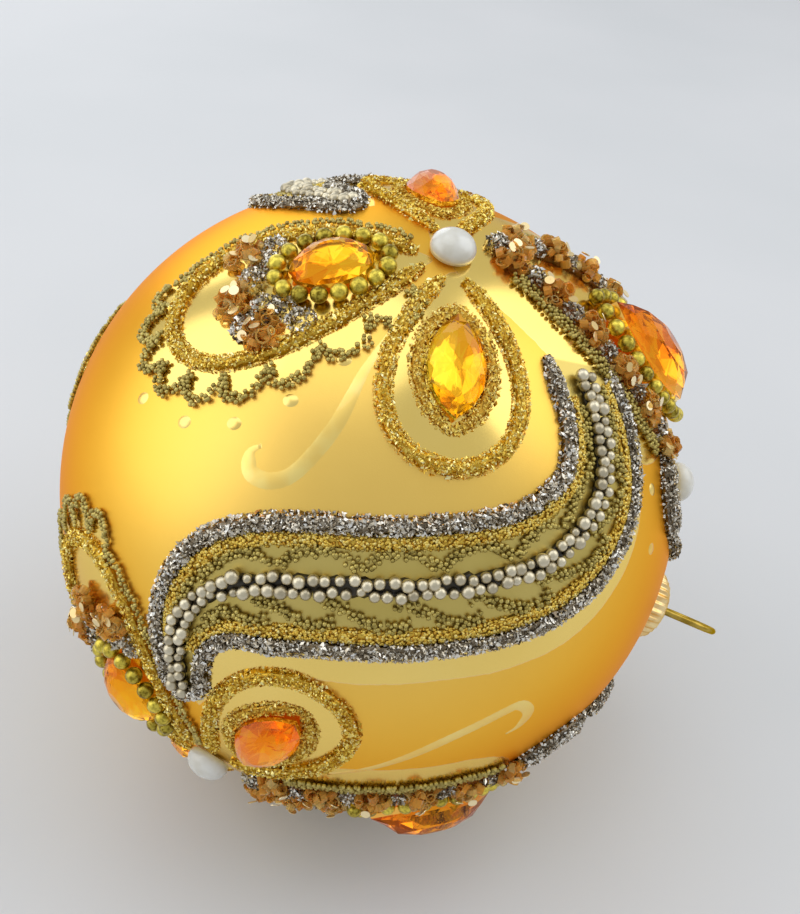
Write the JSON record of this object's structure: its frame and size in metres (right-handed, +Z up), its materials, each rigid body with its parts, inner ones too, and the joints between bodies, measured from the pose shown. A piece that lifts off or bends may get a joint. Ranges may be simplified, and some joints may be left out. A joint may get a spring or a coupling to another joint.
{
  "type": "jewelled ball ornament",
  "caption": "Round blown-glass tree ornament in satin gold, covered with glitter flowers and S-shaped leaves, beads, pearls and amber stones, with a pleated cap and wire hanger.",
  "frame": {"origin": "bottom centre of the bounding box, on the surface that the ball lies on", "axes": "+Z up; +X along the longest extent, towards the cap and hanger; the first leaf looks towards -Y"},
  "size_m": [0.1166, 0.1046, 0.1036],
  "materials": {
    "satin_gold_glass": "satin frosted gold lacquer with glossy champagne lacquer in the petals",
    "cap_brass": "pleated gold-plated sheet",
    "wire_brass": "bright bent wire",
    "gold_glitter": "coarse gold glitter in clear glue",
    "silver_glitter": "coarse silver glitter in clear glue",
    "amber_clumps": "amber bugle beads, sequins and silver glitter in clear glue",
    "seed_beads": "fine olive micro beads",
    "gold_beads": "plated olive-gold beads",
    "grey_beads": "satin grey-beige beads",
    "amber_stone": "faceted foil-backed amber stone",
    "pearl": "lustrous white half pearl"
  },
  "bodies": {
    "root": {"glass_ball": "satin_gold_glass", "cap": "cap_brass", "wire_loop": "wire_brass", "flower_1_pearl": "pearl", "flower_1_east_petal_line": "gold_glitter", "flower_1_east_stone": "amber_stone", "flower_1_west_petal_line": "gold_glitter", "flower_1_west_stone": "amber_stone", "flower_1_south_petal_line": "gold_glitter", "flower_1_south_stone": "amber_stone", "flower_1_south_bead_ring": "gold_beads", "flower_1_south_crescent": "amber_clumps", "flower_1_south_scallops": "seed_beads", "flower_1_north_clump_line": "amber_clumps", "flower_1_north_stone": "amber_stone", "flower_1_north_bead_ring": "gold_beads", "flower_1_north_pearl": "pearl", "flower_2_pearl": "pearl", "flower_2_east_petal_line": "gold_glitter", "flower_2_east_stone": "amber_stone", "flower_2_west_petal_line": "gold_glitter", "flower_2_west_stone": "amber_stone", "flower_2_south_petal_line": "gold_glitter", "flower_2_south_stone": "amber_stone", "flower_2_south_bead_ring": "gold_beads", "flower_2_south_crescent": "amber_clumps", "flower_2_south_scallops": "seed_beads", "flower_2_north_clump_line": "amber_clumps", "flower_2_north_stone": "amber_stone", "flower_2_north_bead_ring": "gold_beads", "flower_2_north_pearl": "pearl", "flower_3_pearl": "pearl", "flower_3_east_petal_line": "gold_glitter", "flower_3_east_stone": "amber_stone", "flower_3_west_petal_line": "gold_glitter", "flower_3_west_stone": "amber_stone", "flower_3_south_petal_line": "gold_glitter", "flower_3_south_stone": "amber_stone", "flower_3_south_bead_ring": "gold_beads", "flower_3_south_crescent": "amber_clumps", "flower_3_south_scallops": "seed_beads", "flower_3_north_clump_line": "amber_clumps", "flower_3_north_stone": "amber_stone", "flower_3_north_bead_ring": "gold_beads", "flower_3_north_pearl": "pearl", "leaf_1_line": "silver_glitter", "leaf_1_bead_row": "grey_beads", "leaf_2_line": "silver_glitter", "leaf_2_bead_row": "grey_beads", "leaf_3_line": "silver_glitter", "leaf_3_bead_row": "grey_beads"}
  },
  "joints": []
}
